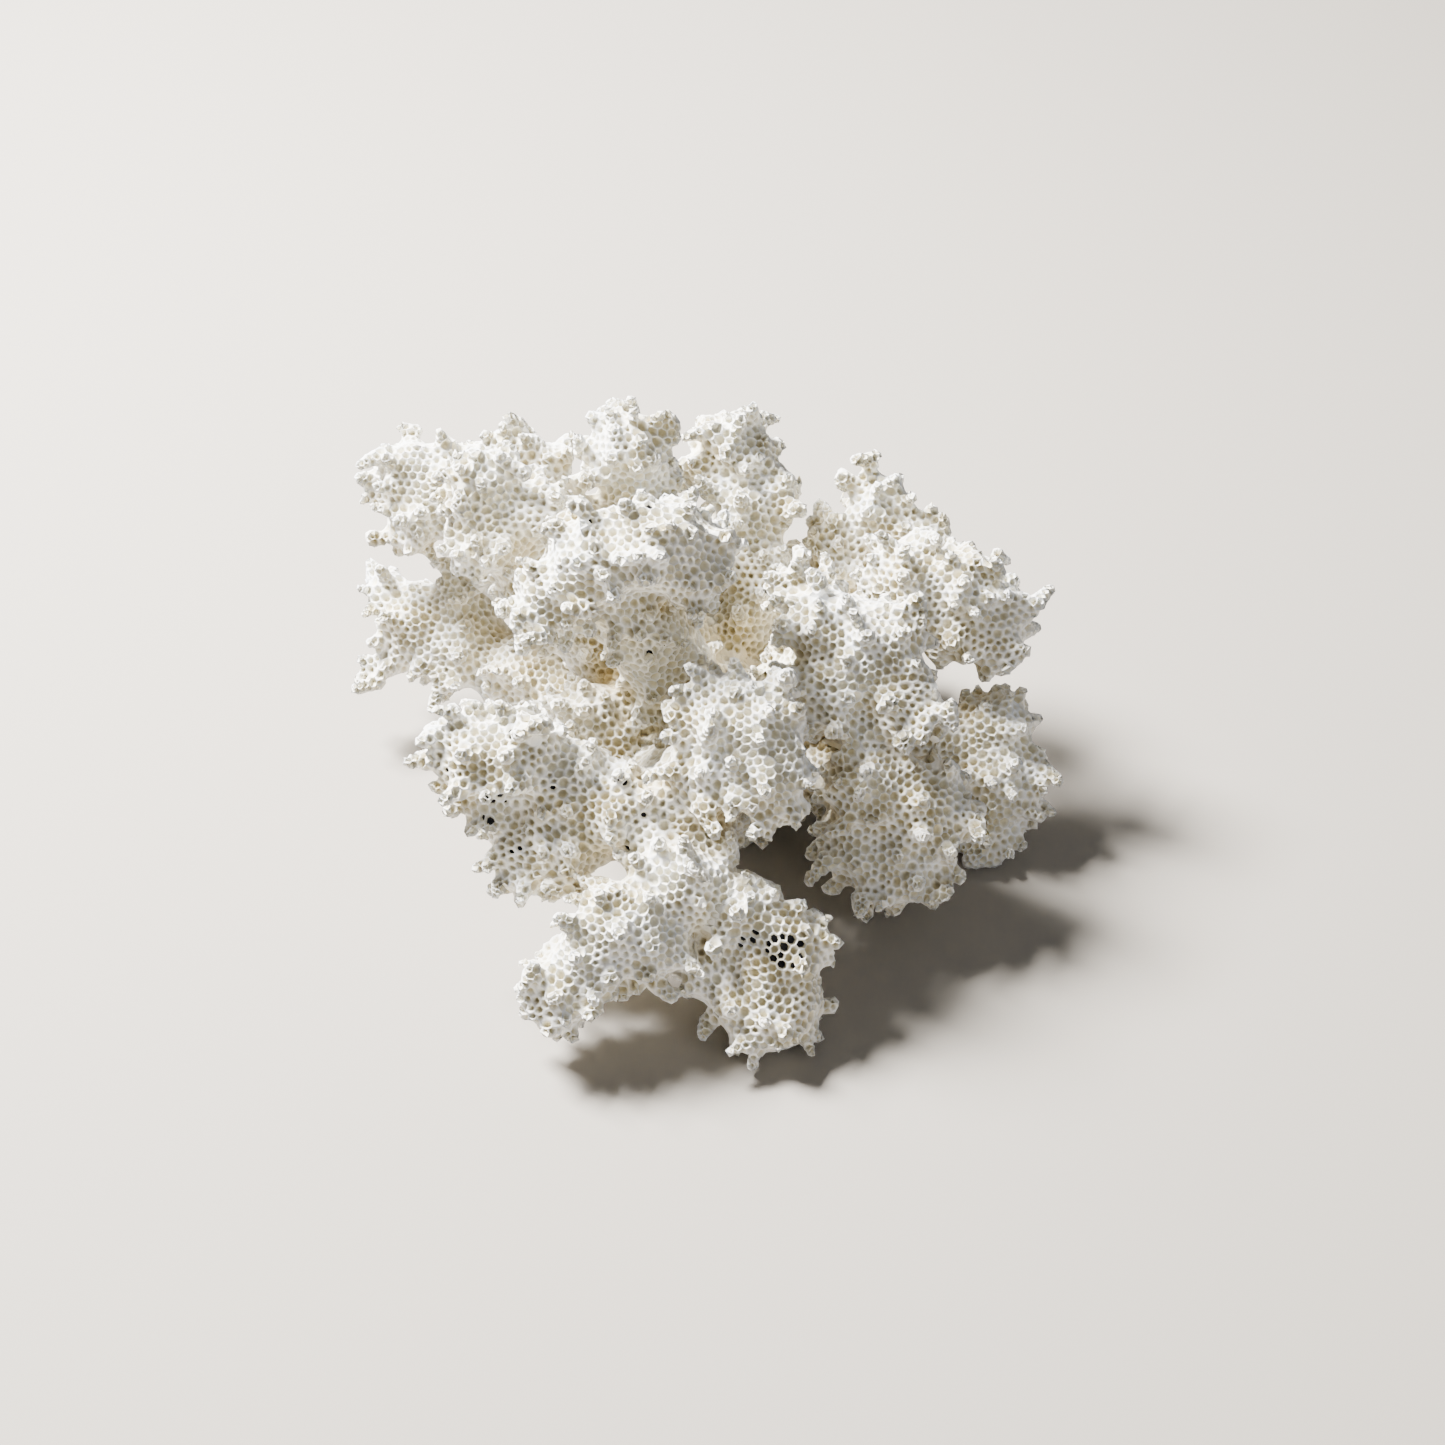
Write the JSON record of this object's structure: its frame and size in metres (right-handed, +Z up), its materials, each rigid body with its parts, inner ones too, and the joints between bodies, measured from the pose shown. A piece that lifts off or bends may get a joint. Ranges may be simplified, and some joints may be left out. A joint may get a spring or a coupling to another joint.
{
  "type": "coral specimen",
  "caption": "Bleached branching stony coral with flattened, toothed branch ends, cut off flat at its stump so that it stands as an ornament or display piece.",
  "frame": {"origin": "centre of the flat cut under the stump, on the surface that the coral stands on", "axes": "+Z up, +X to the right and -Y towards someone who looks at the side that the picture shows"},
  "size_m": [0.0834, 0.0765, 0.0505],
  "materials": {
    "coral": "chalky off-white coral skeleton, fully matte"
  },
  "bodies": {
    "root": {"stump": "coral", "front_limb": "coral", "crown_branch": "coral", "centre_branch": "coral", "right_branch": "coral", "left_front_branch": "coral", "front_left_branch": "coral", "front_right_branch": "coral", "right_front_branch": "coral", "left_upper_branch": "coral", "back_left_branch": "coral", "back_middle_branch": "coral", "right_upper_branch": "coral", "back_right_branch": "coral", "left_back_branch": "coral", "left_low_branch": "coral", "right_low_branch": "coral", "inner_left_branch": "coral", "back_low_left_branch": "coral", "back_low_right_branch": "coral"}
  },
  "joints": []
}
